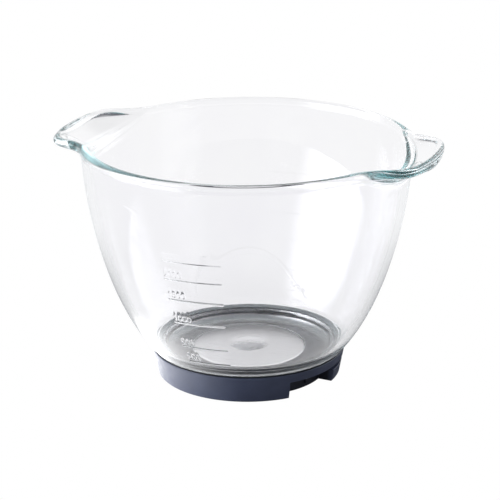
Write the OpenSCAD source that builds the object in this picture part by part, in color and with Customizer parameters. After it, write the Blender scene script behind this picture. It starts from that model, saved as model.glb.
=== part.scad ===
// Stand-mixer bowl: one pressed-glass bowl with two wing handles, on a twist-off bayonet base ring.
// Frame: millimetres, +Z up, origin on the ground under the bowl's axis, X through the two wings,
// the volume scale facing -Y.

/* [Bowl] */
// Height from the ground to the crest of the rim
bowl_h = 174; // [170:0.5:180]
// Radius of the rim's crest
rim_r = 115; // [114.5:0.1:115.5]
// Thickness of the full-round bead at the rim
rim_t = 6.4; // [5.6:0.1:7]
// Thickness of the glass wall
wall = 5.2; // [4.4:0.1:5.8]
// Thickness of the glass floor
floor_t = 5; // [4.5:0.1:6]
// Radius of the flat part of the floor inside
floor_r = 42; // [36:0.5:46]
// Radius of the small dome in the middle of the floor
dome_r = 14; // [8:0.5:18]
// Height of the small dome in the middle of the floor
dome_h = 2.6; // [1:0.1:4]

/* [Wing handles] */
// Distance from the bowl's axis to a wing's tip
tip_r = 139; // [136:0.5:148]
// Half angle of a wing, where its edge is half way out
wing_a = 22; // [18:0.5:25]
// Thickness of a wing
wing_t = 5.5; // [4.5:0.1:6.5]
// Height at which a wing's hollowed top leaves the inner wall
wing_low = 161; // [158:0.5:164]
// Slope of a wing's top along its middle line, in degrees
wing_slope = 22; // [18:0.5:25]
// Radius of the hollow across a wing
wing_dish = 100; // [90:1:120]

/* [Volume scale] */
// Height of each graduation line: 250, 500, 1000, 1500, 2000 and 2500 ml
mark_z = [32.5, 46.5, 67.5, 86, 102, 116];
// Half width of a graduation line, in degrees round the bowl
mark_a = 11; // [6:0.5:14]
// How far a graduation line stands out of the wall
mark_d = 0.6; // [0.3:0.1:1]

/* [Base ring] */
// Height of the ring's top face
base_h = 19.4; // [19:0.1:19.5]
// Outer radius of the ring at its top
base_rt = 70.2; // [69.8:0.1:71]
// Outer radius of the ring at the ground
base_rb = 66.4; // [66:0.1:67.5]
// Radius of the ring's open middle, under the glass floor
open_r = 42; // [36:0.5:46]
// Thickness of the ring's outer skirt
skirt_t = 2.6; // [2:0.1:3]
// Outer radius of the ring's inner sleeve
sleeve_r = 56.2; // [55:0.1:57]
// Thickness of the inner sleeve
sleeve_t = 2; // [1.6:0.1:2.6]
// Number of stiffening ribs round the ring
ribs = 18; // [12:2:24]

/* [Bayonet slots] */
// Number of bayonet slots
slots = 2; // [2:1:2]
// Angle where a slot's mouth starts, measured from +X
slot_a0 = -44.5; // [-48:0.5:-40]
// Angle where a slot's mouth ends
slot_a1 = -6.5; // [-10:0.5:-4]
// Angle where a slot's locking leg ends
leg_a = 25; // [18:0.5:30]
// Height of a slot's roof
slot_h = 12.6; // [12:0.1:12.6]
// Height of the shelf that the mixer's lug slides on
leg_z = 9; // [8:0.1:9.5]

/* [Twist lock] */
// Number of lugs on the glass foot
lugs = 3; // [3:1:3]
// Width of a lug, in degrees
lug_a = 28; // [20:1:30]
// How far the bowl turns between locked and free, in degrees
lock_turn = 60; // [50:1:60]
// Radial clearance between the glass foot and the ring
gap = 0.5; // [0.4:0.05:0.6]

/* [Gasket] */
// Thickness of the rubber gasket between ring and glass
gasket_t = 1; // [0.8:0.05:1.05]

/* [Hidden] */
$fn = 96;
// underside of the glass foot, top of its floor, underside of its shoulder
foot_z = 14;
floor_z = foot_z + floor_t;
shoulder_z = 20.6;
neck_r = 64.4;
lug_r = 66.8;
lug_z0 = 14.4;
lug_z1 = 16.9;
// ring: pocket that holds the glass foot
seat_z = foot_z - 0.3;
pocket_r = lug_r + gap;
lip_r = neck_r + gap;
lip_z = 17.4;
// roof of the hollow between sleeve and skirt
roof_z = slot_h - 0.4;

// outer wall as one cubic Bezier curve, [radius, height]
W0 = [70, shoulder_z];
W1 = [106.5, 62.5];
W2 = [rim_r + 2.5, bowl_h - 30.5];
W3 = [rim_r + 2, bowl_h - 6];
function bez(a, b, c, d, t) = pow(1 - t, 3) * a + 3 * pow(1 - t, 2) * t * b + 3 * (1 - t) * t * t * c + t * t * t * d;
function dbez(a, b, c, d, t) = 3 * pow(1 - t, 2) * (b - a) + 6 * (1 - t) * t * (c - b) + 3 * t * t * (d - c);
function unit(v) = v / norm(v);
function outer(t) = bez(W0, W1, W2, W3, t);
// the inner wall lies one thickness inside the outer one
function inner(t) = let (d = unit(dbez(W0, W1, W2, W3, t))) outer(t) + wall * [-d[1], d[0]];
// radius of the outer wall at a height, by halving
function r_at(z, lo = 0, hi = 1, n = 20) = n == 0 ? outer((lo + hi) / 2)[0]
    : let (m = (lo + hi) / 2) outer(m)[1] < z ? r_at(z, m, hi, n - 1) : r_at(z, lo, m, n - 1);
steps = 28;
// inner corner between wall and floor
ti = 0.05;
C0 = inner(ti);
CD = unit(dbez(W0, W1, W2, W3, ti));
C1 = C0 - 6 * CD;
C2 = [floor_r + 12, floor_z];
C3 = [floor_r, floor_z];
bead_r = rim_t / 2;
bowl_profile = concat(
    [[0, floor_z], [0, foot_z + 0.6], [40, foot_z + 0.6], [42, foot_z]],
    [for (a = [-90 : 15 : 0]) [neck_r - 2.2 + 2.2 * cos(a), foot_z + 2.2 + 2.2 * sin(a)]],
    [[neck_r, shoulder_z - 0.6], [neck_r + 0.6, shoulder_z]],
    [for (a = [-90 : 30 : -30]) [68.9 + 1.1 * cos(a), shoulder_z + 1.1 + 1.1 * sin(a)]],
    [for (i = [1 : steps]) outer(0.035 + (1 - 0.035) * i / steps)],
    [for (a = [-15 : 15 : 195]) [rim_r + bead_r * cos(a), bowl_h - bead_r + bead_r * sin(a)]],
    [for (i = [steps : -1 : 1]) inner(ti + (1 - ti) * i / steps)],
    [for (i = [0 : 8]) bez(C0, C1, C2, C3, i / 8)]
);

// edge of a wing in plan: it leaves the rim, swells to the tip and comes back
function wing_edge(a) = rim_r + bead_r + (tip_r - rim_r - bead_r) / (1 + pow(abs(a) / wing_a, 10));
wing_span = 34;
module wing_plan(inset, r_in) {
    polygon(concat(
        [for (a = [-wing_span : 2 : wing_span]) (wing_edge(a) - inset) * [cos(a), sin(a)]],
        [for (a = [wing_span : -4 : -wing_span]) r_in * [cos(a), sin(a)]]
    ));
}
// a long cylinder that rises outwards: its lowest line passes through (rim_r - 4, 0, wing_low - drop)
module dish(drop) {
    translate([rim_r - 4, 0, wing_low]) rotate([0, -wing_slope, 0])
        translate([-60, 0, wing_dish]) rotate([0, 90, 0]) cylinder(r = wing_dish + drop, h = 140, $fn = 128);
}
// what is hollowed out of a wing and of the rim beside it
module wing_hollow() {
    intersection() {
        translate([0, 0, 140]) linear_extrude(60) wing_plan(5.2, rim_r - 14);
        dish(0);
    }
}
module wing() {
    difference() {
        intersection() {
            translate([0, 0, 140]) linear_extrude(bowl_h - 141) wing_plan(0, rim_r - 2);
            dish(wing_t);
        }
        wing_hollow();
    }
}
module arc(r1, r2, a0, a1, z0, z1) {
    rotate([0, 0, a0]) rotate_extrude(angle = a1 - a0) translate([r1, z0]) square([r2 - r1, z1 - z0]);
}
module dome() {
    rs = (dome_r * dome_r + dome_h * dome_h) / (2 * dome_h);
    translate([0, 0, floor_z]) intersection() {
        translate([0, 0, dome_h - rs]) sphere(r = rs);
        translate([0, 0, -0.5]) cylinder(r = dome_r + 1, h = dome_h + 0.48);
    }
}
// pressed glass: bowl, wings, graduation lines front and back, and the lugs on the foot
module glass_bowl() {
    color([0.82, 0.9, 0.92, 0.4]) {
        difference() {
            rotate_extrude() polygon(bowl_profile);
            for (s = [0, 180]) rotate([0, 0, s]) wing_hollow();
        }
        for (s = [0, 180]) rotate([0, 0, s]) wing();
        dome();
        for (s = [-90, 90], z = mark_z)
            arc(r_at(z) - 1, r_at(z) + mark_d, s - mark_a, s + mark_a, z - 0.45, z + 0.45);
        for (i = [0 : lugs - 1])
            arc(neck_r - 1, lug_r, 90 + 360 / lugs * i - lug_a / 2, 90 + 360 / lugs * i + lug_a / 2, lug_z0, lug_z1);
    }
}

base_profile = [
    [open_r, 11.4], [open_r, seat_z], [pocket_r, seat_z], [pocket_r, lip_z], [lip_r, lip_z], [lip_r, base_h],
    [base_rt - 0.8, base_h], [base_rt, base_h - 0.8], [base_rb + 0.25, 1], [base_rb - 0.5, 0],
    [base_rb - skirt_t, 0], [base_rt - skirt_t - 1.3, roof_z], [sleeve_r, roof_z], [sleeve_r, 0], [sleeve_r - sleeve_t, 0], [sleeve_r - sleeve_t, 11.4]
];
// middle of the tapered skirt's thickness at a height
function skirt_mid(z) = base_rb + (base_rt - base_rb) * z / base_h - skirt_t / 2;
// radial wall between the sleeve and the skirt
module web(a0, a1, z0, z1) {
    rotate([0, 0, a0]) rotate_extrude(angle = a1 - a0)
        polygon([[sleeve_r - 0.7, z0], [skirt_mid(z0), z0], [skirt_mid(z1), z1], [sleeve_r - 0.7, z1]]);
}
// moulded plastic: skirt, sleeve, seat for the glass foot, ribs and the two bayonet slots
module base_ring() {
    color([0.2, 0.23, 0.3]) difference() {
        union() {
            rotate_extrude() polygon(base_profile);
            // ribs between sleeve and skirt, kept out of the slots
            for (i = [0 : ribs - 1]) let (a = 360 / ribs * i + 10)
                if (((a + 60) % 180) > 90) web(a - 0.7, a + 0.7, 1.2, slot_h + 0.5);
            for (s = [0 : 360 / slots : 359]) rotate([0, 0, s]) {
                // walls at the two ends of the slot's mouth and at the leg's end
                web(slot_a0 - 2.5, slot_a0 - 0.25, 0.3, slot_h + 0.5);
                web(slot_a1 + 0.25, slot_a1 + 2.5, 0.3, leg_z - 0.8);
                web(leg_a + 0.25, leg_a + 2.5, 0.8, slot_h + 0.5);
                // shelf under the locking leg
                web(slot_a1 + 0.25, leg_a + 1.2, leg_z - 2, leg_z - 0.25);
                // stop rib on the sleeve inside the mouth
                arc(sleeve_r - 0.7, sleeve_r + 1.8, slot_a0 + 19, slot_a0 + 20.2, 3, slot_h + 0.5);
            }
        }
        for (s = [0 : 360 / slots : 359]) rotate([0, 0, s]) {
            arc(sleeve_r + 4, base_rt + 4, slot_a0, slot_a1, -1, slot_h);
            arc(sleeve_r + 4.3, base_rt + 3, slot_a1 - 1, leg_a, leg_z, slot_h - 0.2);
        }
        // notches in the lip, where the glass lugs come in
        for (i = [0 : lugs - 1])
            arc(lip_r - 1, pocket_r + 0.3, 90 + lock_turn + 360 / lugs * i - lug_a / 2 - 2,
                90 + lock_turn + 360 / lugs * i + lug_a / 2 + 2, lip_z - 1, base_h + 1);
    }
}
// black rubber gasket lying on the ring's top face
module gasket() {
    color([0.05, 0.05, 0.06]) rotate_extrude()
        polygon([[pocket_r + 0.1, base_h], [base_rt - 1.5, base_h], [base_rt - 1.2, base_h + 0.3],
                 [base_rt - 1.2, base_h + gasket_t - 0.3], [base_rt - 1.5, base_h + gasket_t], [pocket_r + 0.1, base_h + gasket_t]]);
}

glass_bowl();
base_ring();
gasket();
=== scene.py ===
import math

import bpy
import numpy as np
from mathutils import Matrix, Vector


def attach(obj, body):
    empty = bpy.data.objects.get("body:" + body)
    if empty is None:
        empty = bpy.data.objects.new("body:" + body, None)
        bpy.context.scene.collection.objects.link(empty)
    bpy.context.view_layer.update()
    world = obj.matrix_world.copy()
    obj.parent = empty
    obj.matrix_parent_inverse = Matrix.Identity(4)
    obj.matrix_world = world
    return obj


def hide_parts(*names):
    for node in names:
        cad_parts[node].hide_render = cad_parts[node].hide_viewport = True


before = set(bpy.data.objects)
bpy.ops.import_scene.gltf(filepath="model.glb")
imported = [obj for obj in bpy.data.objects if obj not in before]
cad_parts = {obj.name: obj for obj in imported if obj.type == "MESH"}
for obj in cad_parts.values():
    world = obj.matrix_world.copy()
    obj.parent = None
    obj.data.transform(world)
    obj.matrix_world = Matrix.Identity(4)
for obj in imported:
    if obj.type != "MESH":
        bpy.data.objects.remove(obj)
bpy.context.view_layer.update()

MM = 0.001
rad = math.radians

# ---------------------------------------------------------------- glass bowl: sizes as in the CAD, millimetres
WALL, BOWL_H, RIM_R, BEAD = 5.2, 174.0, 115.0, 3.2
EDGE_R = RIM_R + BEAD
TIP_R, WING_A, WING_T, WING_LOW, SLOPE, DISH = 139.0, 22.0, 5.5, 161.0, rad(22.0), 100.0
BORDER = 5.2
FOOT_Z, FLOOR_Z, SHOULDER_Z, NECK_R, LUG_R = 14.0, 19.0, 20.6, 64.4, 66.8
FLOOR_R, DOME_R, DOME_H = 42.0, 14.0, 2.6
MARK_Z = [32.5, 46.5, 67.5, 86.0, 102.0, 116.0]
MARK_LABEL = ["250", "500", "1000", "1500", "2000", "2500"]
SPLIT_Z = 148.0  # below it the wall is a plain surface of revolution
WALL_CURVE = np.array([[70.0, 20.6], [106.5, 62.5], [117.5, 143.5], [117.0, 168.0]])


def bezier(p, t):
    t = np.asarray(t, float)[..., None]
    return (1 - t) ** 3 * p[0] + 3 * (1 - t) ** 2 * t * p[1] + 3 * (1 - t) * t * t * p[2] + t ** 3 * p[3]


def bezier_d(p, t):
    t = np.asarray(t, float)[..., None]
    return 3 * (1 - t) ** 2 * (p[1] - p[0]) + 6 * (1 - t) * t * (p[2] - p[1]) + 3 * t * t * (p[3] - p[2])


def outer(t):
    return bezier(WALL_CURVE, t)


def inner(t):
    d = bezier_d(WALL_CURVE, t)
    d = d / np.linalg.norm(d, axis=-1, keepdims=True)
    return outer(t) + WALL * np.stack([-d[..., 1], d[..., 0]], -1)


_t = np.linspace(0, 1, 3001)
_o, _i = outer(_t), inner(_t)


def r_out(z):
    return np.interp(z, _o[:, 1], _o[:, 0])


def r_in(z):
    return np.interp(z, _i[:, 1], _i[:, 0])


def round_max(a, b, r):
    """Intersection of two solids with a rounded convex edge of radius r."""
    return np.minimum(-r, np.maximum(a, b)) + np.hypot(np.maximum(a + r, 0), np.maximum(b + r, 0))


def soft_min(a, b, k):
    """Union of two solids with a soft fillet."""
    h = np.maximum(k - np.abs(a - b), 0) / k
    return np.minimum(a, b) - h * h * k / 4


def edge_radius(phi):
    """Radius of the bowl's outline, and its slope, at an angle phi from a wing's middle."""
    q = np.abs(phi) / rad(WING_A)
    e = TIP_R - EDGE_R
    r = EDGE_R + e / (1 + q ** 10)
    d = -e * 10 * q ** 9 / rad(WING_A) / (1 + q ** 10) ** 2
    return r, d


AXIS_X = RIM_R - 4 - DISH * math.sin(SLOPE)
AXIS_Z = WING_LOW + DISH * math.cos(SLOPE)


def dish_distance(x, y, z):
    """Distance from the sloping axis of the hollow across a wing."""
    w = -math.sin(SLOPE) * (x - AXIS_X) + math.cos(SLOPE) * (z - AXIS_Z)
    return np.hypot(y, w)


def dish_height(x, y, radius):
    return AXIS_Z + (-np.sqrt(np.maximum(radius * radius - y * y, 1.0)) + math.sin(SLOPE) * (x - AXIS_X)) / math.cos(SLOPE)


def solid(r, phi, z):
    """Below zero inside the glass; near the rim and the wings, about the distance to its surface."""
    x, y = r * np.cos(phi), r * np.sin(phi)
    wide, slope = edge_radius(phi)
    past = (r - wide) / np.sqrt(1 + (slope / r) ** 2)
    dish = dish_distance(x, y, z)
    under = soft_min(dish - (DISH + WING_T), 167.9 - z, 2.0)
    brim = round_max(past, under, 2.6)
    q = np.abs(phi) / rad(26.0)
    k = 1.3 + 5.2 / (1 + q ** 8)
    body = soft_min(r - r_out(z), brim, k)
    hollow = -round_max(past + BORDER, dish - DISH, 2.2)
    open_side = round_max(r_in(z) - r, hollow, 1.1)
    open_side = round_max(open_side, z - BOWL_H, 2.5)
    return round_max(body, open_side, 3.0)


def solve(origin, direction, phi, reach=14.0):
    """Distance along each ray, in the plane through the axis, to the glass surface."""
    n = 57
    steps = np.linspace(0, reach, n)
    lo = np.zeros(origin.shape[0])
    hi = np.full(origin.shape[0], reach)
    found = np.zeros(origin.shape[0], bool)
    for k in range(1, n):
        p = origin + steps[k] * direction
        v = solid(p[:, 0], phi, p[:, 1])
        new = (~found) & (v > 0)
        lo[new], hi[new] = steps[k - 1], steps[k]
        found |= new
    for _ in range(26):
        mid = (lo + hi) / 2
        p = origin + mid[:, None] * direction
        v = solid(p[:, 0], phi, p[:, 1])
        hi = np.where(v > 0, mid, hi)
        lo = np.where(v > 0, lo, mid)
    return (lo + hi) / 2


def guide(phi):
    """Middle line of the glass from the wall up and out into the wing, at one angle: points and unit tangents along it.
    """
    ts = np.interp(SPLIT_Z, _o[:, 1], _t)
    d = bezier_d(WALL_CURVE, ts)
    d = d / np.linalg.norm(d)
    start = outer(ts) + WALL / 2 * np.array([-d[1], d[0]])
    wide, _ = edge_radius(phi)
    end = np.array([float(wide) - 3.15, 170.85])
    c, s = math.cos(phi), math.sin(phi)
    zt = dish_height(112.0 * c, 112.0 * s, DISH)
    zu = dish_height(116.5 * c, 116.5 * s, DISH + WING_T)
    zm = (zt + zu) / 2
    zj = float(soft_min(np.array(zm), np.array(168.3), 3.0))
    knee = np.array([113.9, zj])
    e1 = start - knee
    l1 = np.linalg.norm(e1)
    e1 /= l1
    e2 = end - knee
    l2 = np.linalg.norm(e2)
    e2 /= l2
    cc = 3.0

    def g(u):
        return (u + np.sqrt(u * u + cc * cc)) / 2

    u = np.linspace(-l1, l2, 700)
    p = knee + np.outer(g(-u), e1) + np.outer(g(u), e2)
    f = (u + l1) / (l1 + l2)
    f = f * f * (3 - 2 * f)
    p = p + np.outer(1 - f, start - p[0]) + np.outer(f, end - p[-1])
    seg = np.linalg.norm(np.diff(p, axis=0), axis=1)
    s_ = np.concatenate([[0], np.cumsum(seg)])
    total = s_[-1]
    sj = np.interp(0, u, s_)
    sj = float(soft_min(np.array(sj), np.array(total - 12.5), 1.5))
    sj = max(sj, 4.6)
    knots = [0, sj - 4.2, sj + 4.2, max(total - 7.6, sj + 4.6), total]
    rows = [6, 24, 13, 17]
    at = [0.0]
    for (a, b), n in zip(zip(knots[:-1], knots[1:]), rows):
        at += list(np.linspace(a, b, n + 1)[1:])
    at = np.array(at)
    # even out the change of spacing between the stretches
    for _ in range(6):
        at[1:-1] = (at[:-2] + 2 * at[1:-1] + at[2:]) / 4
    x = np.interp(at, s_, p[:, 0])
    z = np.interp(at, s_, p[:, 1])
    dx = np.gradient(p[:, 0], s_)
    dz = np.gradient(p[:, 1], s_)
    tx, tz = np.interp(at, s_, dx), np.interp(at, s_, dz)
    n = np.hypot(tx, tz)
    tx, tz = tx / n, tz / n
    return np.stack([x, z], 1), np.stack([tx, tz], 1)


def angles(half):
    """Angles of one quarter turn, from a wing's middle to 90 degrees off it, and how the fine ones group into coarse
    ones; half is not used.
    """
    a = list(np.linspace(0, 14.4, 16)) + list(np.linspace(14.4, 30, 31)[1:]) + list(np.linspace(30, 36, 7)[1:]) + list(range(38, 92, 2))
    groups = [3] * 17 + [1] * 27
    return np.array(a, float), groups


quarter, groups = angles(True)
turn = np.concatenate([quarter, 180 - quarter[-2::-1]])
group_half = groups + groups[::-1]
turn = np.concatenate([turn, 180 + turn[1:-1]])  # 0 .. <360
group_all = group_half + group_half
starts = np.concatenate([[0], np.cumsum(group_all)])[:-1]
NF = len(turn)
coarse = turn[starts]
NC = len(coarse)


def off_wing(deg):
    a = np.abs((deg + 90) % 180 - 90)
    return np.radians(a)


class Builder:
    def __init__(self):
        self.v, self.f, self.n = [], [], 0

    def add(self, pts):
        first = self.n
        self.v.append(np.asarray(pts, float).reshape(-1, 3))
        self.n += len(self.v[-1])
        return first

    def ring(self, deg, r, z):
        a = np.radians(deg)
        r = np.broadcast_to(r, a.shape)
        z = np.broadcast_to(z, a.shape)
        return self.add(np.stack([r * np.cos(a), r * np.sin(a), z], 1))

    def bridge(self, a, b, n, skip=()):
        for k in range(n):
            if k in skip:
                continue
            m = (k + 1) % n
            self.f.append((a + k, a + m, b + m, b + k))

    def mesh(self, name):
        v = np.concatenate(self.v) * MM
        m = bpy.data.meshes.new(name)
        m.from_pydata([tuple(p) for p in v], [], self.f)
        m.validate()
        m.update()
        return m


# ---------------------------------------------------------------- raised scale: graduation lines, numerals and the unit
def oval(w, h, n=22):
    a = np.linspace(0, 2 * math.pi, n + 1)
    c, s = np.cos(a), np.sin(a)
    p = 2 / 2.6
    return np.stack([w / 2 + w / 2 * np.sign(c) * np.abs(c) ** p, h / 2 + h / 2 * np.sign(s) * np.abs(s) ** p], 1)


GLYPH_H, GLYPH_W, GLYPH_STEP = 4.1, 2.5, 3.45
UNIT = {
    "0": [oval(1, 1)],
    "1": [np.array([[0.22, 0.76], [0.42, 0.86], [0.6, 1.0], [0.6, 0.0]])],
    "2": [np.array([[0.05, 0.74], [0.12, 0.9], [0.32, 1.0], [0.66, 1.0], [0.88, 0.9], [0.94, 0.72], [0.84, 0.54], [0.5, 0.28], [0.04, 0.0], [0.98, 0.0]])],
    "5": [np.array([[0.9, 1.0], [0.2, 1.0], [0.12, 0.54], [0.34, 0.63], [0.64, 0.63], [0.88, 0.5], [0.95, 0.3], [0.84, 0.1], [0.55, 0.0], [0.25, 0.02], [0.04, 0.16]])],
    "m": [np.array([[0.0, 0.0], [0.0, 0.66]]), np.array([[0.0, 0.5], [0.14, 0.64], [0.34, 0.66], [0.48, 0.52], [0.48, 0.0]]),
          np.array([[0.48, 0.5], [0.62, 0.64], [0.84, 0.66], [0.98, 0.52], [0.98, 0.0]])],
    "l": [np.array([[0.3, 0.0], [0.3, 1.0]])],
}


def stroke_distance(u, v, lines):
    best = np.full(u.shape, 1e9)
    for line in lines:
        for a, b in zip(line[:-1], line[1:]):
            d = b - a
            ll = max(float(d @ d), 1e-12)
            t = np.clip(((u - a[0]) * d[0] + (v - a[1]) * d[1]) / ll, 0, 1)
            best = np.minimum(best, np.hypot(u - a[0] - t * d[0], v - a[1] - t * d[1]))
    return best


def text_strokes(text, u0, v0, height=GLYPH_H):
    out = []
    for k, ch in enumerate(text):
        w = GLYPH_W * height / GLYPH_H * (1.25 if ch == "m" else 1)
        step = GLYPH_STEP * height / GLYPH_H
        x = u0 + k * step + (0.5 if ch == "l" else 0)
        for line in UNIT[ch]:
            out.append(np.stack([x + line[:, 0] * w, v0 + line[:, 1] * height], 1))
    return out


# a scale's own angles are measured from the middle of its patch at -90 or +90 degrees
LINE_A0, LINE_A1, TEXT_A = -11.0, 11.0, -10.9


def scale_height(deg, z):
    """How far the scale stands out of the wall at an angle and a height."""
    h = np.zeros(deg.shape)

    def bump(d, flat, edge, top):
        t = np.clip((d - flat) / (edge - flat), 0, 1)
        return top * (1 - t * t * (3 - 2 * t))

    for zl, label in zip(MARK_Z, MARK_LABEL):
        near = np.abs(z - zl - 2) < 7
        if not near.any():
            continue
        r = float(r_out(zl))
        u = np.radians(deg[near]) * r
        v = z[near]
        line = np.array([[rad(LINE_A0) * r + 0.4, zl], [rad(LINE_A1) * r - 0.4, zl]])
        h[near] = np.maximum(h[near], bump(stroke_distance(u, v, [line]), 0.16, 0.56, 0.48))
        d = stroke_distance(u, v, text_strokes(label, rad(TEXT_A) * r + 0.2, zl + 1.9))
        h[near] = np.maximum(h[near], bump(d, 0.08, 0.56, 0.34))
        if label == "2500":
            d = stroke_distance(u, v, text_strokes("ml", rad(5.1) * r, zl + 4.6, 3.4))
            h[near] = np.maximum(h[near], bump(d, 0.08, 0.56, 0.34))
    return h


PATCH_A0, PATCH_A1, PATCH_Z0, PATCH_Z1 = -16.0, 14.0, 29.0, 127.0


def patch_grid():
    a = [-15.2, -13.6, -12.4, -11.7, -11.3]
    a += list(np.arange(-11.05, -2.3, 0.2))
    a += [-1.6, 0.2, 2.2, 3.8, 4.7]
    a += list(np.arange(4.95, 8.95, 0.21))
    a += [9.5, 10.1, 10.5, 10.75, 10.95, 11.15, 11.5, 12.2, 13.1]
    z = [PATCH_Z0 + 1.3]
    for zl in MARK_Z:
        z += [zl - 1.2] + [zl + s for s in (-0.66, -0.45, -0.22, 0, 0.22, 0.45, 0.66)]
        z += list(np.arange(zl + 1.2, zl + 6.75, 0.37))
        if zl == MARK_Z[-1]:
            z += list(np.arange(zl + 6.95, zl + 8.9, 0.37))
    z += [PATCH_Z1 - 1.3]
    z = np.array(sorted(z))
    keep = [z[0]]
    for k in range(1, len(z)):
        gap = z[k] - keep[-1]
        if gap < 0.12:
            continue
        if gap > 3.6:
            n = int(math.ceil(gap / 3.4))
            keep += [keep[-1] + gap * j / n for j in range(1, n)]
        keep.append(z[k])
    return np.array(a), np.array(keep)


def zipper(faces, low, high, low_t, high_t, flip):
    """Joins two chains of vertices, given where each lies along the seam, with triangles."""
    i = j = 0
    while i < len(low) - 1 or j < len(high) - 1:
        step_low = j == len(high) - 1 or (i < len(low) - 1 and low_t[i + 1] <= high_t[j + 1])
        if step_low:
            tri = (low[i], low[i + 1], high[j])
            i += 1
        else:
            tri = (low[i], high[j + 1], high[j])
            j += 1
        faces.append(tri[::-1] if flip else tri)


def fine_patch(b, centre, ids, rows_z, cols_deg):
    """The raised scale's own dense grid, joined to the wall round it. ids[row][col] are the wall's vertices on the patch's edge and corners."""
    pa, pz = patch_grid()
    A, Z = np.meshgrid(pa, pz)
    r = r_out(Z) + scale_height(A, Z) * (1.0 if centre == 270 else 0.5)
    ang = np.radians(A + centre)
    first = b.add(np.stack([r * np.cos(ang), r * np.sin(ang), Z], -1).reshape(-1, 3))
    nc, nr = len(pa), len(pz)
    at = lambda i, j: first + i * nc + j
    for i in range(nr - 1):
        for j in range(nc - 1):
            b.f.append((at(i, j), at(i, j + 1), at(i + 1, j + 1), at(i + 1, j)))
    bottom, top = ids[0], ids[-1]
    left = [row[0] for row in ids]
    right = [row[-1] for row in ids]
    zipper(b.f, bottom, [at(0, j) for j in range(nc)], cols_deg, pa, False)
    zipper(b.f, top, [at(nr - 1, j) for j in range(nc)], cols_deg, pa, True)
    zipper(b.f, left, [at(i, 0) for i in range(nr)], rows_z, pz, True)
    zipper(b.f, right, [at(i, nc - 1) for i in range(nr)], rows_z, pz, False)


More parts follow.
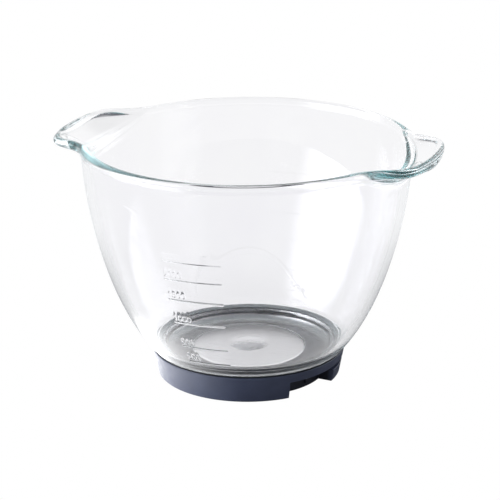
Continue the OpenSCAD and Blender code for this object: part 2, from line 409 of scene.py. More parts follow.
# ---------------------------------------------------------------- the glass, one closed mesh
def build_glass():
    b = Builder()
    lug = np.zeros(NC)
    for c in (90, 210, 330):
        off = np.abs((coarse - c + 180) % 360 - 180)
        t = np.clip((15.0 - off) / 2.5, 0, 1)
        lug = np.maximum(lug, t * t * (3 - 2 * t))
    rings = []  # (first index, is_fine)

    def low(r, z):
        rings.append((b.ring(coarse, r, z), False))

    # underside, from the middle out, with a shallow recess
    axis_low = b.add([[0, 0, FOOT_Z + 0.6]])
    for r in (4, 10, 17, 24, 31, 36, 39, 40.2):
        low(r, FOOT_Z + 0.6)
    for t in (0.2, 0.5, 0.8):
        s = t * t * (3 - 2 * t)
        low(40.2 + 1.8 * t, FOOT_Z + 0.6 * (1 - s))
    for r in (42.3, 44, 50, 56, 60, 61.6):
        low(r, FOOT_Z)
    for a in (-75, -60, -45, -30):
        low(NECK_R - 2.2 + 2.2 * math.cos(rad(a)), FOOT_Z + 2.2 + 2.2 * math.sin(rad(a)))
    # the foot's side, with its three lugs
    for w, z in ((0.0, 15.0), (0.55, 15.12), (0.9, 15.3), (1.0, 15.6), (1.0, 16.2), (0.92, 16.6), (0.72, 16.82), (0.4, 16.9), (0.08, 16.94), (0.0, 17.05)):
        base = NECK_R - 0.18 if z < 15.2 else NECK_R
        low(base + (LUG_R - NECK_R - 0.05) * w * lug, z)
    for z in (17.8, 18.8, 19.6):
        low(NECK_R, z)
    for a in (165, 140, 115, 95):
        low(NECK_R + 0.75 + 0.75 * math.cos(rad(a)), SHOULDER_Z - 0.75 + 0.75 * math.sin(rad(a)))
    for r in (65.6, 67.0, 68.0):
        low(r, SHOULDER_Z)
    # rounded shoulder edge into the wall
    d0 = bezier_d(WALL_CURVE, 0.03)
    a1 = math.degrees(math.atan2(-d0[0], d0[1]))
    rr = 1.5
    q = outer(0.03)
    nrm = np.array([d0[1], -d0[0]]) / np.linalg.norm(d0)
    centre = q - rr * nrm
    lift = SHOULDER_Z - (centre[1] - rr)
    centre = centre + lift * d0 / np.linalg.norm(d0) * (np.linalg.norm(d0) / d0[1])
    for a in np.linspace(-90, a1, 7)[0:-1]:
        low(centre[0] + rr * math.cos(rad(a)), centre[1] + rr * math.sin(rad(a)))
    z_start = centre[1] + rr * math.sin(rad(a1))
    # outer wall up to the split, with room for the scale front and back
    wall_rows = [z_start, (z_start + 25.4) / 2, 25.4, PATCH_Z0]
    n_mid = 32
    wall_rows += list(np.linspace(PATCH_Z0, PATCH_Z1, n_mid + 1)[1:])
    wall_rows += [131, 135, 139, 142.6, 145.6]
    patch_rows = {}
    for z in wall_rows:
        low(r_out(z), z)
        if PATCH_Z0 - 1e-6 <= z <= PATCH_Z1 + 1e-6:
            patch_rows[len(rings) - 1] = z
    # rim and wings: rays from the middle line of the glass
    n_guide = None
    outs, tips, ins = [], [], []
    deg_half = turn
    cache = {}
    for dg in deg_half:
        key = round(float(np.degrees(off_wing(np.array(dg)))), 6)
        if key not in cache:
            phi = rad(key)
            p, t = guide(phi)
            no = np.stack([t[:, 1], -t[:, 0]], 1)
            cache[key] = (p, t, no, phi)
    keys = sorted(cache)
    O, D, PH, tag = [], [], [], []
    fan = np.linspace(-90, 90, 17)[1:-1]
    for key in keys:
        p, t, no, phi = cache[key]
        n = len(p)
        n_guide = n
        te = t[-1]
        rays_o = list(zip(p, no))
        fan_dirs = [te * math.cos(rad(a)) + np.array([te[1], -te[0]]) * -math.sin(rad(a)) for a in fan]
        rays_f = [(p[-1], d) for d in fan_dirs]
        rays_i = list(zip(p[::-1], -no[::-1]))
        for o, d in rays_o + rays_f + rays_i:
            O.append(o)
            D.append(d)
            PH.append(phi)
    O, D, PH = np.array(O), np.array(D), np.array(PH)
    dist = solve(O, D, PH)
    P = (O + dist[:, None] * D).reshape(len(keys), -1, 2)
    section = dict(zip(keys, P))
    order = [round(float(np.degrees(off_wing(np.array(dg)))), 6) for dg in turn]
    full = np.array([section[k] for k in order])  # columns, rows, (r, z)
    for k in range(full.shape[1]):
        rings.append((b.ring(turn, full[:, k, 0], full[:, k, 1]), True))
    # inner wall down to the floor
    zi_split = full[:, -1, 1].mean()
    t_in = np.interp(zi_split, _i[:, 1], _t)
    for t in np.linspace(t_in, 0.05, 41)[1:]:
        p = inner(t)
        low(p[0], p[1])
    c0 = inner(0.05)
    cd = bezier_d(WALL_CURVE, 0.05)
    cd = cd / np.linalg.norm(cd)
    corner = np.array([c0, c0 - 6 * cd, [FLOOR_R + 12, FLOOR_Z], [FLOOR_R, FLOOR_Z]])
    for t in np.linspace(0, 1, 13)[1:]:
        p = bezier(corner, t)
        low(p[0], p[1])
    for r in (41.2, 38, 33, 28, 23.5, 20):
        low(r, FLOOR_Z)
    # small dome in the middle of the floor, its foot eased into the floor
    rs = (DOME_R ** 2 + DOME_H ** 2) / (2 * DOME_H)
    for r in (18.5, 17.2, 16.0, 15.0, 14.2, 13.4, 12.6, 11.6, 10.0, 8.0, 5.5, 3.0, 1.2):
        cap = math.sqrt(rs * rs - r * r) - (rs - DOME_H)
        z = -float(soft_min(np.array(-cap), np.array(0.0), 1.1)) - 1.1 / 4 * math.exp(-((r - DOME_R) / 3.0) ** 2) * 0.35
        low(r, FLOOR_Z + max(z, 0.0))
    axis_top = b.add([[0, 0, FLOOR_Z + DOME_H]])

    # faces
    pcols = {}
    for centre_deg in (270.0, 90.0):
        idx = [k for k in range(NC) if PATCH_A0 - 1e-6 <= ((coarse[k] - centre_deg + 180) % 360 - 180) <= PATCH_A1 + 1e-6]
        pcols[centre_deg] = idx
    skip = set()
    for idx in pcols.values():
        skip |= set(idx[:-1])
    prow = sorted(patch_rows)
    for k in range(NC):
        m = (k + 1) % NC
        b.f.append((axis_low, rings[0][0] + m, rings[0][0] + k))
    for n, ((a, fa), (c, fc)) in enumerate(zip(rings[:-1], rings[1:])):
        if fa == fc:
            inside = n in patch_rows and (n + 1) in patch_rows
            b.bridge(a, c, NF if fa else NC, skip if inside else ())
        else:
            coarse_first = not fa
            cr, fr = (a, c) if coarse_first else (c, a)
            for k in range(NC):
                m = (k + 1) % NC
                s, g = int(starts[k]), group_all[k]
                f = [fr + (s + j) % NF for j in range(g + 1)]
                if g == 1:
                    quads = [(cr + k, cr + m, f[1], f[0])]
                else:
                    quads = [(cr + k, f[1], f[0]), (cr + k, cr + m, f[2], f[1]), (cr + m, f[3], f[2])]
                for q_ in quads:
                    b.f.append(q_ if coarse_first else q_[::-1])
    last = rings[-1][0]
    for k in range(NC):
        m = (k + 1) % NC
        b.f.append((last + k, last + m, axis_top))
    for centre_deg, idx in pcols.items():
        ids = [[rings[n][0] + k for k in idx] for n in prow]
        rows_z = [patch_rows[n] for n in prow]
        cols = [((coarse[k] - centre_deg + 180) % 360 - 180) for k in idx]
        fine_patch(b, centre_deg, ids, rows_z, cols)
    m = b.mesh("mixing_bowl_glass")
    return m


def new_object(name, mesh, body):
    o = bpy.data.objects.new(name, mesh)
    bpy.context.scene.collection.objects.link(o)
    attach(o, body)
    return o


def smooth(mesh, angle=None):
    mesh.polygons.foreach_set("use_smooth", [True] * len(mesh.polygons))
    if angle is not None:
        mesh.set_sharp_from_angle(angle=rad(angle))
    mesh.update()


# ---------------------------------------------------------------- base ring: a closed mesh of cells in angle, radius and height
OPEN_R, SLEEVE_R, SLEEVE_T = 42.0, 56.2, 2.0
BASE_H, BASE_RT, BASE_RB, SKIRT = 19.4, 70.2, 66.4, 2.6
SEAT_Z, POCKET_R, LIP_R, LIP_Z = 13.7, 67.3, 64.9, 17.4
SLOT_A0, SLOT_A1, LEG_A, SLOT_H, LEG_Z = -44.5, -6.5, 25.0, 12.6, 9.0


def build_ring():
    zl = [0.0, 1.2, 3.0, 7.0, 9.0, 11.4, SLOT_H, SEAT_Z, LIP_Z, BASE_H]

    def radius(i, z):
        skirt_out = BASE_RB + (BASE_RT - BASE_RB) * z / BASE_H
        inner_low = BASE_RB - SKIRT + (BASE_RT - BASE_RB) * z / BASE_H
        return [OPEN_R, SLEEVE_R - SLEEVE_T, SLEEVE_R, SLEEVE_R + 1.8,
                60.5 if z < SEAT_Z - 0.01 else LIP_R,
                inner_low if z < SEAT_Z - 0.01 else POCKET_R, skirt_out][i]

    marks = {}

    def span(name, a0, a1):
        marks.setdefault(name, []).append((a0, a1))

    for s in (0, 180):
        span("mouth", s + SLOT_A0, s + SLOT_A1)
        span("leg", s + SLOT_A1, s + LEG_A)
        span("wall_full", s + SLOT_A0 - 2.5, s + SLOT_A0)
        span("wall_low", s + SLOT_A1, s + SLOT_A1 + 2.2)
        span("wall_high", s + LEG_A, s + LEG_A + 2.2)
        span("stop", s + SLOT_A0 + 19.0, s + SLOT_A0 + 20.2)
    for i in range(18):
        a = 20 * i + 10
        if ((a + 60) % 180) > 90:
            span("rib", a - 0.7, a + 0.7)
    for c in (30, 150, 270):
        span("notch", c - 16, c + 16)
    cuts = sorted({round(x % 360, 4) for v in marks.values() for p in v for x in p})
    al = []
    for a, c in zip(cuts, cuts[1:] + [cuts[0] + 360]):
        n = max(1, int(math.ceil((c - a) / 2.3)))
        al += [a + (c - a) * j / n for j in range(n)]
    na = len(al)
    mids = [((al[k] + (al[(k + 1) % na] + (360 if k == na - 1 else 0))) / 2) for k in range(na)]

    def inside(name, a):
        return any(((a - p[0]) % 360) < (p[1] - p[0]) for p in marks.get(name, []))

    nz, nr = len(zl) - 1, 6
    full = np.zeros((nr, na, nz), bool)
    for k in range(na):
        a = mids[k]
        mouth, leg = inside("mouth", a), inside("leg", a)
        for j in range(nz):
            z = (zl[j] + zl[j + 1]) / 2
            full[0, k, j] = 11.4 < z < SEAT_Z
            full[1, k, j] = z < SEAT_Z
            web = False
            if z < SLOT_H:
                web |= inside("rib", a) and z > 1.2
                web |= inside("wall_full", a) or (inside("wall_high", a) and z > 1.2)
                web |= inside("wall_low", a) and z < LEG_Z
                web |= leg and 7.0 < z < LEG_Z
            else:
                web = z < SEAT_Z
            stop = inside("stop", a) and 3.0 < z < SLOT_H
            full[2, k, j] = web or stop
            full[3, k, j] = web
            full[4, k, j] = web or (z > LIP_Z and not inside("notch", a))
            full[5, k, j] = not ((mouth and z < SLOT_H) or (leg and LEG_Z < z < SLOT_H))
    verts, index, faces = [], {}, []

    def vid(i, k, j):
        key = (i, k % na, j)
        if key not in index:
            a, z = rad(al[k % na]), zl[j]
            r = radius(i, z)
            index[key] = len(verts)
            verts.append((r * math.cos(a) * MM, r * math.sin(a) * MM, z * MM))
        return index[key]

    def cell(i, k, j):
        return 0 <= i < nr and 0 <= j < nz and full[i, k % na, j]

    for i in range(nr):
        for k in range(na):
            for j in range(nz):
                if not full[i, k, j]:
                    continue
                v = lambda di, dk, dj: vid(i + di, k + dk, j + dj)
                if not cell(i - 1, k, j):
                    faces.append((v(0, 0, 0), v(0, 0, 1), v(0, 1, 1), v(0, 1, 0)))
                if not cell(i + 1, k, j):
                    faces.append((v(1, 0, 0), v(1, 1, 0), v(1, 1, 1), v(1, 0, 1)))
                if not cell(i, k - 1, j):
                    faces.append((v(0, 0, 0), v(1, 0, 0), v(1, 0, 1), v(0, 0, 1)))
                if not cell(i, k + 1, j):
                    faces.append((v(0, 1, 0), v(0, 1, 1), v(1, 1, 1), v(1, 1, 0)))
                if not cell(i, k, j - 1):
                    faces.append((v(0, 0, 0), v(0, 1, 0), v(1, 1, 0), v(1, 0, 0)))
                if not cell(i, k, j + 1):
                    faces.append((v(0, 0, 1), v(1, 0, 1), v(1, 1, 1), v(0, 1, 1)))
    m = bpy.data.meshes.new("bayonet_base_ring")
    m.from_pydata(verts, [], faces)
    m.validate()
    m.update()
    return m


def bevel_ring(o):
    import bmesh
    bm = bmesh.new()
    bm.from_mesh(o.data)
    layer = bm.edges.layers.float.new("bevel_weight_edge")
    for e in bm.edges:
        if len(e.link_faces) != 2:
            continue
        ang = e.calc_face_angle(0.0)
        if ang < rad(35):
            continue
        zs = [v.co.z for v in e.verts]
        rs = [math.hypot(v.co.x, v.co.y) for v in e.verts]
        w = 0.4
        if min(zs) > (BASE_H - 0.05) * MM and min(rs) > (BASE_RT - 0.3) * MM:
            w = 0.6
        e[layer] = w
    bm.to_mesh(o.data)
    bm.free()
    mod = o.modifiers.new("edge_round", "BEVEL")
    mod.limit_method = "WEIGHT"
    mod.width = 0.9 * MM
    mod.segments = 3
    mod.use_clamp_overlap = True
    mod.miter_outer = "MITER_ARC"
    dg = bpy.context.evaluated_depsgraph_get()
    done = bpy.data.meshes.new_from_object(o.evaluated_get(dg), depsgraph=dg)
    o.modifiers.clear()
    done.name = "bayonet_base_ring"
    o.data = done
    smooth(o.data, 38)


# ---------------------------------------------------------------- gasket: a rubber ring with a rounded lip
def build_gasket():
    b = Builder()
    prof = []
    r0, r1, z0, z1 = 67.42, 70.1, 19.4, 20.55
    cx, cz = (r0 + r1) / 2, (z0 + z1) / 2
    for a in np.linspace(0, 360, 25)[:-1]:
        c, s = math.cos(rad(a)), math.sin(rad(a))
        p = 2 / 4.0
        prof.append((cx + (r1 - r0) / 2 * math.copysign(abs(c) ** p, c), cz + (z1 - z0) / 2 * math.copysign(abs(s) ** p, s)))
    deg = np.arange(0, 360, 2.0)
    rings = [b.ring(deg, r, z) for r, z in prof]
    for a, c in zip(rings, rings[1:] + rings[:1]):
        b.bridge(a, c, len(deg))
    return b.mesh("rubber_gasket")


# ---------------------------------------------------------------- materials
def nodes_of(mat):
    mat.use_nodes = True
    nt = mat.node_tree
    nt.nodes.clear()
    out = nt.nodes.new("ShaderNodeOutputMaterial")
    return nt, out


def node(nt, kind, **values):
    n = nt.nodes.new(kind)
    for k, v in values.items():
        setattr(n, k, v)
    return n


def glass_material():
    mat = bpy.data.materials.new("clear_pressed_glass")
    nt, out = nodes_of(mat)
    p = node(nt, "ShaderNodeBsdfPrincipled")
    p.inputs["IOR"].default_value = 1.5
    p.inputs["Metallic"].default_value = 0.0
    tc = node(nt, "ShaderNodeTexCoord")
    # faint cloudiness of the tint
    n1 = node(nt, "ShaderNodeTexNoise")
    n1.inputs["Scale"].default_value = 22.0
    n1.inputs["Detail"].default_value = 3.0
    r1 = node(nt, "ShaderNodeValToRGB")
    r1.color_ramp.elements[0].position = 0.3
    r1.color_ramp.elements[0].color = (0.974, 0.968, 0.986, 1)
    r1.color_ramp.elements[1].position = 0.7
    r1.color_ramp.elements[1].color = (0.990, 0.986, 0.997, 1)
    # very fine handling marks in the polish
    n2 = node(nt, "ShaderNodeTexNoise")
    n2.inputs["Scale"].default_value = 900.0
    n2.inputs["Detail"].default_value = 4.0
    m2 = node(nt, "ShaderNodeMapRange")
    m2.inputs["From Min"].default_value = 0.35
    m2.inputs["From Max"].default_value = 0.75
    m2.inputs["To Min"].default_value = 0.0
    m2.inputs["To Max"].default_value = 0.012
    # slow waves left by pressing
    n3 = node(nt, "ShaderNodeTexNoise")
    n3.inputs["Scale"].default_value = 32.0
    n3.inputs["Detail"].default_value = 1.0
    bump = node(nt, "ShaderNodeBump")
    bump.inputs["Strength"].default_value = 0.05
    bump.inputs["Distance"].default_value = 0.0006
    link = nt.links.new
    link(tc.outputs["Object"], n1.inputs["Vector"])
    link(tc.outputs["Object"], n2.inputs["Vector"])
    link(tc.outputs["Object"], n3.inputs["Vector"])
    link(n1.outputs["Fac"], r1.inputs["Fac"])
    link(r1.outputs["Color"], p.inputs["Base Color"])
    # the underside of the foot is stippled, as the mould leaves it
    sep = node(nt, "ShaderNodeSeparateXYZ")
    under = node(nt, "ShaderNodeMapRange")
    under.inputs["From Min"].default_value = 0.01496
    under.inputs["From Max"].default_value = 0.01484
    under.inputs["To Min"].default_value = 0.0
    under.inputs["To Max"].default_value = 1.0
    rough = node(nt, "ShaderNodeMath", operation="MULTIPLY_ADD")
    rough.inputs[1].default_value = 0.32
    stipple = node(nt, "ShaderNodeTexVoronoi")
    stipple.inputs["Scale"].default_value = 620.0
    cells = node(nt, "ShaderNodeMath", operation="MULTIPLY")
    bump2 = node(nt, "ShaderNodeBump")
    bump2.inputs["Strength"].default_value = 0.6
    bump2.inputs["Distance"].default_value = 0.00012
    link(tc.outputs["Object"], sep.inputs[0])
    link(tc.outputs["Object"], stipple.inputs["Vector"])
    # and so are the neck and the shoulder that sit in the ring
    flat = node(nt, "ShaderNodeVectorMath", operation="MULTIPLY")
    flat.inputs[1].default_value = (1, 1, 0)
    length = node(nt, "ShaderNodeVectorMath", operation="LENGTH")
    wide = node(nt, "ShaderNodeMapRange")
    wide.inputs["From Min"].default_value = 0.0630
    wide.inputs["From Max"].default_value = 0.0634
    seat = node(nt, "ShaderNodeMapRange")
    seat.inputs["From Min"].default_value = 0.02072
    seat.inputs["From Max"].default_value = 0.02066
    both = node(nt, "ShaderNodeMath", operation="MULTIPLY")
    any_of = node(nt, "ShaderNodeMath", operation="MAXIMUM")
    link(tc.outputs["Object"], flat.inputs[0])
    link(flat.outputs[0], length.inputs[0])
    link(length.outputs["Value"], wide.inputs["Value"])
    link(sep.outputs["Z"], seat.inputs["Value"])
    link(wide.outputs["Result"], both.inputs[0])
    link(seat.outputs["Result"], both.inputs[1])
    link(sep.outputs["Z"], under.inputs["Value"])
    link(under.outputs["Result"], any_of.inputs[0])
    link(both.outputs[0], any_of.inputs[1])
    link(n2.outputs["Fac"], m2.inputs["Value"])
    # the recess over the ring's open middle is ground, and whiter
    middle = node(nt, "ShaderNodeMapRange")
    middle.inputs["From Min"].default_value = 0.0415
    middle.inputs["From Max"].default_value = 0.0409
    disc = node(nt, "ShaderNodeMath", operation="MULTIPLY")
    through = node(nt, "ShaderNodeMath", operation="MULTIPLY_ADD")
    through.inputs[1].default_value = -0.12
    through.inputs[2].default_value = 1.0
    link(length.outputs["Value"], middle.inputs["Value"])
    link(middle.outputs["Result"], disc.inputs[0])
    link(under.outputs["Result"], disc.inputs[1])
    link(disc.outputs[0], through.inputs[0])
    link(through.outputs[0], p.inputs["Transmission Weight"])
    link(any_of.outputs[0], rough.inputs[0])
    link(m2.outputs["Result"], rough.inputs[2])
    link(rough.outputs[0], p.inputs["Roughness"])
    link(n3.outputs["Fac"], bump.inputs["Height"])
    link(stipple.outputs["Distance"], cells.inputs[0])
    link(any_of.outputs[0], cells.inputs[1])
    link(cells.outputs[0], bump2.inputs["Height"])
    link(bump.outputs["Normal"], bump2.inputs["Normal"])
    link(bump2.outputs["Normal"], p.inputs["Normal"])
    vol = node(nt, "ShaderNodeVolumeAbsorption")
    vol.inputs["Color"].default_value = (0.44, 0.68, 0.69, 1)
    vol.inputs["Density"].default_value = 3.2
    link(p.outputs["BSDF"], out.inputs["Surface"])
    link(vol.outputs["Volume"], out.inputs["Volume"])
    return mat


def plastic_material():
    mat = bpy.data.materials.new("slate_moulded_plastic")
    nt, out = nodes_of(mat)
    p = node(nt, "ShaderNodeBsdfPrincipled")
    p.inputs["IOR"].default_value = 1.5
    p.inputs["Specular IOR Level"].default_value = 0.5
    link = nt.links.new
    tc = node(nt, "ShaderNodeTexCoord")
    # colour with slight flow variation
    n1 = node(nt, "ShaderNodeTexNoise")
    n1.inputs["Scale"].default_value = 60.0
    n1.inputs["Detail"].default_value = 4.0
    r1 = node(nt, "ShaderNodeValToRGB")
    r1.color_ramp.elements[0].position = 0.3
    r1.color_ramp.elements[0].color = (0.034, 0.043, 0.078, 1)
    r1.color_ramp.elements[1].position = 0.72
    r1.color_ramp.elements[1].color = (0.043, 0.054, 0.096, 1)
    # edges are rubbed a little paler
    geo = node(nt, "ShaderNodeNewGeometry")
    edge = node(nt, "ShaderNodeMapRange")
    edge.inputs["From Min"].default_value = 0.52
    edge.inputs["From Max"].default_value = 0.62
    edge.inputs["To Min"].default_value = 0.0
    edge.inputs["To Max"].default_value = 0.14
    mix = node(nt, "ShaderNodeMix", data_type="RGBA")
    mix.inputs["B"].default_value = (0.09, 0.105, 0.145, 1)
    # moulded spark texture
    n2 = node(nt, "ShaderNodeTexNoise")
    n2.inputs["Scale"].default_value = 2600.0
    n2.inputs["Detail"].default_value = 3.0
    bump = node(nt, "ShaderNodeBump")
    bump.inputs["Strength"].default_value = 0.25
    bump.inputs["Distance"].default_value = 0.00006
    n3 = node(nt, "ShaderNodeTexNoise")
    n3.inputs["Scale"].default_value = 240.0
    n3.inputs["Detail"].default_value = 5.0
    m3 = node(nt, "ShaderNodeMapRange")
    m3.inputs["From Min"].default_value = 0.3
    m3.inputs["From Max"].default_value = 0.7
    m3.inputs["To Min"].default_value = 0.30
    m3.inputs["To Max"].default_value = 0.42
    for n in (n1, n2, n3):
        link(tc.outputs["Object"], n.inputs["Vector"])
    link(n1.outputs["Fac"], r1.inputs["Fac"])
    link(r1.outputs["Color"], mix.inputs["A"])
    link(geo.outputs["Pointiness"], edge.inputs["Value"])
    link(edge.outputs["Result"], mix.inputs["Factor"])
    # painted shade: inside the ring, about 55 to 65 mm from the axis, the base colour is mixed 85% towards near-black
    # to stand in for the deep shade in the slots
    flat = node(nt, "ShaderNodeVectorMath", operation="MULTIPLY")
    flat.inputs[1].default_value = (1, 1, 0)
    length = node(nt, "ShaderNodeVectorMath", operation="LENGTH")
    inside = node(nt, "ShaderNodeMapRange")
    inside.inputs["From Min"].default_value = 0.0630
    inside.inputs["From Max"].default_value = 0.0650
    inside.inputs["To Min"].default_value = 0.85
    inside.inputs["To Max"].default_value = 0.0
    painted_shade_mix = node(nt, "ShaderNodeMix", data_type="RGBA")
    painted_shade_mix.inputs["B"].default_value = (0.006, 0.007, 0.012, 1)
    link(tc.outputs["Object"], flat.inputs[0])
    link(flat.outputs[0], length.inputs[0])
    middle = node(nt, "ShaderNodeMapRange")
    middle.inputs["From Min"].default_value = 0.0546
    middle.inputs["From Max"].default_value = 0.0554
    both = node(nt, "ShaderNodeMath", operation="MULTIPLY")
    link(length.outputs["Value"], inside.inputs["Value"])
    link(length.outputs["Value"], middle.inputs["Value"])
    link(inside.outputs["Result"], both.inputs[0])
    link(middle.outputs["Result"], both.inputs[1])
    link(both.outputs[0], painted_shade_mix.inputs["Factor"])
    link(mix.outputs["Result"], painted_shade_mix.inputs["A"])
    link(painted_shade_mix.outputs["Result"], p.inputs["Base Color"])
    link(n2.outputs["Fac"], bump.inputs["Height"])
    link(bump.outputs["Normal"], p.inputs["Normal"])
    link(n3.outputs["Fac"], m3.inputs["Value"])
    link(m3.outputs["Result"], p.inputs["Roughness"])
    link(p.outputs["BSDF"], out.inputs["Surface"])
    return mat


def rubber_material():
    mat = bpy.data.materials.new("black_rubber")
    nt, out = nodes_of(mat)
    p = node(nt, "ShaderNodeBsdfPrincipled")
    p.inputs["IOR"].default_value = 1.45
    p.inputs["Specular IOR Level"].default_value = 0.2
    link = nt.links.new
    tc = node(nt, "ShaderNodeTexCoord")
    n1 = node(nt, "ShaderNodeTexNoise")
    n1.inputs["Scale"].default_value = 300.0
    n1.inputs["Detail"].default_value = 4.0
    r1 = node(nt, "ShaderNodeValToRGB")
    r1.color_ramp.elements[0].color = (0.006, 0.007, 0.010, 1)
    r1.color_ramp.elements[1].color = (0.016, 0.018, 0.024, 1)
    m1 = node(nt, "ShaderNodeMapRange")
    m1.inputs["To Min"].default_value = 0.5
    m1.inputs["To Max"].default_value = 0.7
    n2 = node(nt, "ShaderNodeTexNoise")
    n2.inputs["Scale"].default_value = 3000.0
    bump = node(nt, "ShaderNodeBump")
    bump.inputs["Strength"].default_value = 0.3
    bump.inputs["Distance"].default_value = 0.00005
    link(tc.outputs["Object"], n1.inputs["Vector"])
    link(tc.outputs["Object"], n2.inputs["Vector"])
    link(n1.outputs["Fac"], r1.inputs["Fac"])
    link(r1.outputs["Color"], p.inputs["Base Color"])
    link(n1.outputs["Fac"], m1.inputs["Value"])
    link(m1.outputs["Result"], p.inputs["Roughness"])
    link(n2.outputs["Fac"], bump.inputs["Height"])
    link(bump.outputs["Normal"], p.inputs["Normal"])
    link(p.outputs["BSDF"], out.inputs["Surface"])
    return mat


# ---------------------------------------------------------------- pieces
glass_mesh = build_glass()
smooth(glass_mesh)
glass = new_object("mixing_bowl_glass", glass_mesh, "bowl")
glass.data.materials.append(glass_material())
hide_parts("glass_bowl")

ring = new_object("bayonet_base_ring", build_ring(), "base")
bevel_ring(ring)
ring.data.materials.append(plastic_material())
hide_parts("base_ring")

gasket_mesh = build_gasket()
smooth(gasket_mesh)
gasket = new_object("rubber_gasket", gasket_mesh, "base")
gasket.data.materials.append(rubber_material())
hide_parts("gasket")

# ---------------------------------------------------------------- studio: pale floor, plain soft light
scene = bpy.context.scene
scene.view_settings.view_transform = "Standard"
scene.view_settings.look = "None"
scene.cycles.max_bounces = 96
scene.cycles.transmission_bounces = 96
scene.cycles.glossy_bounces = 96
scene.cycles.transparent_max_bounces = 16
scene.cycles.caustics_reflective = True
scene.cycles.caustics_refractive = True

floor_mesh = bpy.data.meshes.new("floor")
S = 6.0
floor_mesh.from_pydata([(-S, -S, -0.0004), (S, -S, -0.0004), (S, S, -0.0004), (-S, S, -0.0004)], [], [(0, 1, 2, 3)])
floor = bpy.data.objects.new("floor", floor_mesh)
scene.collection.objects.link(floor)
fm = bpy.data.materials.new("pale_floor")
nt, out = nodes_of(fm)
diff = node(nt, "ShaderNodeBsdfDiffuse")
diff.inputs["Color"].default_value = (0.30, 0.30, 0.31, 1)
em = node(nt, "ShaderNodeEmission")
em.inputs["Color"].default_value = (1, 1, 1, 1)
painted_floor_glow = node(nt, "ShaderNodeEmission")
painted_floor_glow.inputs["Color"].default_value = (1, 1, 1, 1)
lp = node(nt, "ShaderNodeLightPath")
mx = node(nt, "ShaderNodeMath", operation="MAXIMUM")
sel = node(nt, "ShaderNodeMixShader")
add = node(nt, "ShaderNodeAddShader")
es = node(nt, "ShaderNodeMapRange")
es.inputs["To Min"].default_value = 0.955
es.inputs["To Max"].default_value = 1.0
nt.links.new(lp.outputs["Is Camera Ray"], es.inputs["Value"])
nt.links.new(es.outputs["Result"], em.inputs["Strength"])
nt.links.new(lp.outputs["Is Camera Ray"], mx.inputs[0])
nt.links.new(lp.outputs["Is Transmission Ray"], mx.inputs[1])
nt.links.new(mx.outputs[0], sel.inputs[0])
nt.links.new(em.outputs[0], sel.inputs[2])
# painted light: for rays other than camera and transmission rays the floor itself glows, up to 4.2 in a patch beside
# the ring on its left and up to 0.62 far out, and the ring shows this glow as a painted reflection
fc = node(nt, "ShaderNodeTexCoord")
fd = node(nt, "ShaderNodeVectorMath", operation="DOT_PRODUCT")
fd.inputs[1].default_value = (math.sin(rad(20.5 - 98)), -math.cos(rad(20.5 - 98)), 0.0)
fr = node(nt, "ShaderNodeMapRange", interpolation_type="SMOOTHSTEP")
fr.inputs["From Min"].default_value = -0.01
fr.inputs["From Max"].default_value = 0.12
fr.inputs["To Min"].default_value = 0.02
fr.inputs["To Max"].default_value = 4.2
nt.links.new(fc.outputs["Object"], fd.inputs[0])
nt.links.new(fd.outputs["Value"], fr.inputs["Value"])
fl = node(nt, "ShaderNodeVectorMath", operation="LENGTH")
fa = node(nt, "ShaderNodeMapRange", interpolation_type="SMOOTHSTEP")
fa.inputs["From Min"].default_value = 0.085
fa.inputs["From Max"].default_value = 0.145
fa.inputs["To Min"].default_value = 1.0
fa.inputs["To Max"].default_value = 0.06
fm2 = node(nt, "ShaderNodeMath", operation="MULTIPLY")
nt.links.new(fc.outputs["Object"], fl.inputs[0])
nt.links.new(fl.outputs["Value"], fa.inputs["Value"])
# the patch stops behind the ring, so the wall's own outline doesn't reflect it
fb = node(nt, "ShaderNodeVectorMath", operation="DOT_PRODUCT")
fb.inputs[1].default_value = (-math.sin(rad(20.5)), math.cos(rad(20.5)), 0.0)
fback = node(nt, "ShaderNodeMapRange", interpolation_type="SMOOTHSTEP")
fback.inputs["From Min"].default_value = 0.018
fback.inputs["From Max"].default_value = 0.054
fback.inputs["To Min"].default_value = 1.0
fback.inputs["To Max"].default_value = 0.10
fm3 = node(nt, "ShaderNodeMath", operation="MULTIPLY")
nt.links.new(fc.outputs["Object"], fb.inputs[0])
nt.links.new(fb.outputs["Value"], fback.inputs["Value"])
nt.links.new(fa.outputs["Result"], fm3.inputs[0])
nt.links.new(fback.outputs["Result"], fm3.inputs[1])
nt.links.new(fr.outputs["Result"], fm2.inputs[0])
nt.links.new(fm3.outputs[0], fm2.inputs[1])
far = node(nt, "ShaderNodeMapRange", interpolation_type="SMOOTHSTEP")
far.inputs["From Min"].default_value = 0.15
far.inputs["From Max"].default_value = 0.36
far.inputs["To Min"].default_value = 0.0
far.inputs["To Max"].default_value = 0.62
fmax = node(nt, "ShaderNodeMath", operation="MAXIMUM")
nt.links.new(fl.outputs["Value"], far.inputs["Value"])
nt.links.new(fm2.outputs[0], fmax.inputs[0])
nt.links.new(far.outputs["Result"], fmax.inputs[1])
nt.links.new(fmax.outputs[0], painted_floor_glow.inputs["Strength"])
nt.links.new(painted_floor_glow.outputs[0], add.inputs[0])
nt.links.new(diff.outputs[0], add.inputs[1])
nt.links.new(add.outputs[0], sel.inputs[1])
nt.links.new(sel.outputs[0], out.inputs["Surface"])
floor_mesh.materials.append(fm)

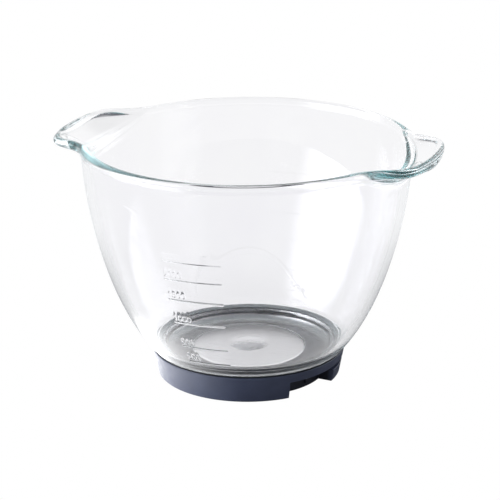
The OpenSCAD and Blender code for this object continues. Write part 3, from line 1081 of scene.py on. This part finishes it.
# camera: fitted to the object's outlines, then turned with the object about the vertical
f_px, pitch, yaw, roll, turn_z = 1900.0, rad(19.037), rad(0.064), -0.009, rad(20.5)
right = Vector((math.cos(yaw), -math.sin(yaw), 0))
fwd = Vector((math.sin(yaw) * math.cos(pitch), math.cos(yaw) * math.cos(pitch), -math.sin(pitch)))
up = right.cross(fwd)
right2 = right * math.cos(roll) + up * math.sin(roll)
up2 = up * math.cos(roll) - right * math.sin(roll)
rot = Matrix((right2, up2, -fwd)).transposed().to_4x4()
place = Matrix.Translation(Vector((0, -1.2939, 0.5366))) @ rot
cam_data = bpy.data.cameras.new("camera")
cam_data.sensor_width = 36
cam_data.lens = f_px / 500 * 36
cam_data.clip_start, cam_data.clip_end = 0.01, 50
cam = bpy.data.objects.new("camera", cam_data)
cam.matrix_world = Matrix.Rotation(turn_z, 4, "Z") @ place
scene.collection.objects.link(cam)
scene.camera = cam

# surroundings: bright at the sides and behind the bowl, dimmer overhead and on the side of the camera
world = bpy.data.worlds.new("studio")
scene.world = world
world.use_nodes = True
nt = world.node_tree
nt.nodes.clear()
out = nt.nodes.new("ShaderNodeOutputWorld")
bg = nt.nodes.new("ShaderNodeBackground")
bgc = nt.nodes.new("ShaderNodeBackground")
bgc.inputs["Color"].default_value = (1, 1, 1, 1)
bgc.inputs["Strength"].default_value = 1.0
tc = nt.nodes.new("ShaderNodeTexCoord")
sep = nt.nodes.new("ShaderNodeSeparateXYZ")
nt.links.new(tc.outputs["Generated"], sep.inputs[0])
# height: bright low, dim overhead
rz = nt.nodes.new("ShaderNodeValToRGB")
rz.color_ramp.interpolation = "EASE"
rz.color_ramp.elements[0].position = 0.48
rz.color_ramp.elements[0].color = (1, 1, 1, 1)
rz.color_ramp.elements[1].position = 0.82
rz.color_ramp.elements[1].color = (0.16, 0.16, 0.18, 1)
nt.links.new(sep.outputs["Z"], rz.inputs["Fac"])
# side of the camera: dimmer
dot = nt.nodes.new("ShaderNodeVectorMath")
dot.operation = "DOT_PRODUCT"
dot.inputs[1].default_value = (math.sin(turn_z), -math.cos(turn_z), 0.0)
nt.links.new(tc.outputs["Generated"], dot.inputs[0])
rc = nt.nodes.new("ShaderNodeValToRGB")
rc.color_ramp.interpolation = "EASE"
rc.color_ramp.elements[0].position = 0.15
rc.color_ramp.elements[0].color = (1, 1, 1, 1)
rc.color_ramp.elements[1].position = 0.8
rc.color_ramp.elements[1].color = (0.62, 0.63, 0.66, 1)
nt.links.new(dot.outputs["Value"], rc.inputs["Fac"])
mul = nt.nodes.new("ShaderNodeMix")
mul.data_type = "RGBA"
mul.blend_type = "MULTIPLY"
mul.inputs["Factor"].default_value = 1.0
nt.links.new(rz.outputs["Color"], mul.inputs["A"])
nt.links.new(rc.outputs["Color"], mul.inputs["B"])
nt.links.new(mul.outputs["Result"], bg.inputs["Color"])
bg.inputs["Strength"].default_value = 1.0


# large soft lamps with no edges, at azimuths and heights seen from the camera
def soft_lamp(az, height, inner_cos, strength, shader):
    v = Vector((math.sin(turn_z + rad(az)), -math.cos(turn_z + rad(az)), height)).normalized()
    d = nt.nodes.new("ShaderNodeVectorMath")
    d.operation = "DOT_PRODUCT"
    d.inputs[1].default_value = v
    nt.links.new(tc.outputs["Generated"], d.inputs[0])
    m = nt.nodes.new("ShaderNodeMapRange")
    m.interpolation_type = "SMOOTHERSTEP"
    m.inputs["From Min"].default_value = inner_cos
    m.inputs["From Max"].default_value = 1.0
    m.inputs["To Min"].default_value = 0.0
    m.inputs["To Max"].default_value = strength
    nt.links.new(d.outputs["Value"], m.inputs["Value"])
    b = nt.nodes.new("ShaderNodeBackground")
    b.inputs["Color"].default_value = (0.96, 0.97, 1, 1)
    nt.links.new(m.outputs["Result"], b.inputs["Strength"])
    a = nt.nodes.new("ShaderNodeAddShader")
    nt.links.new(shader, a.inputs[0])
    nt.links.new(b.outputs[0], a.inputs[1])
    return a.outputs[0]


lit = soft_lamp(-78, 0.28, 0.74, 5.0, bg.outputs[0])
lit = soft_lamp(124, 0.28, 0.80, 1.6, lit)
lp = nt.nodes.new("ShaderNodeLightPath")
sel = nt.nodes.new("ShaderNodeMixShader")
nt.links.new(lp.outputs["Is Camera Ray"], sel.inputs[0])
nt.links.new(lit, sel.inputs[1])
nt.links.new(bgc.outputs[0], sel.inputs[2])
nt.links.new(sel.outputs[0], out.inputs["Surface"])
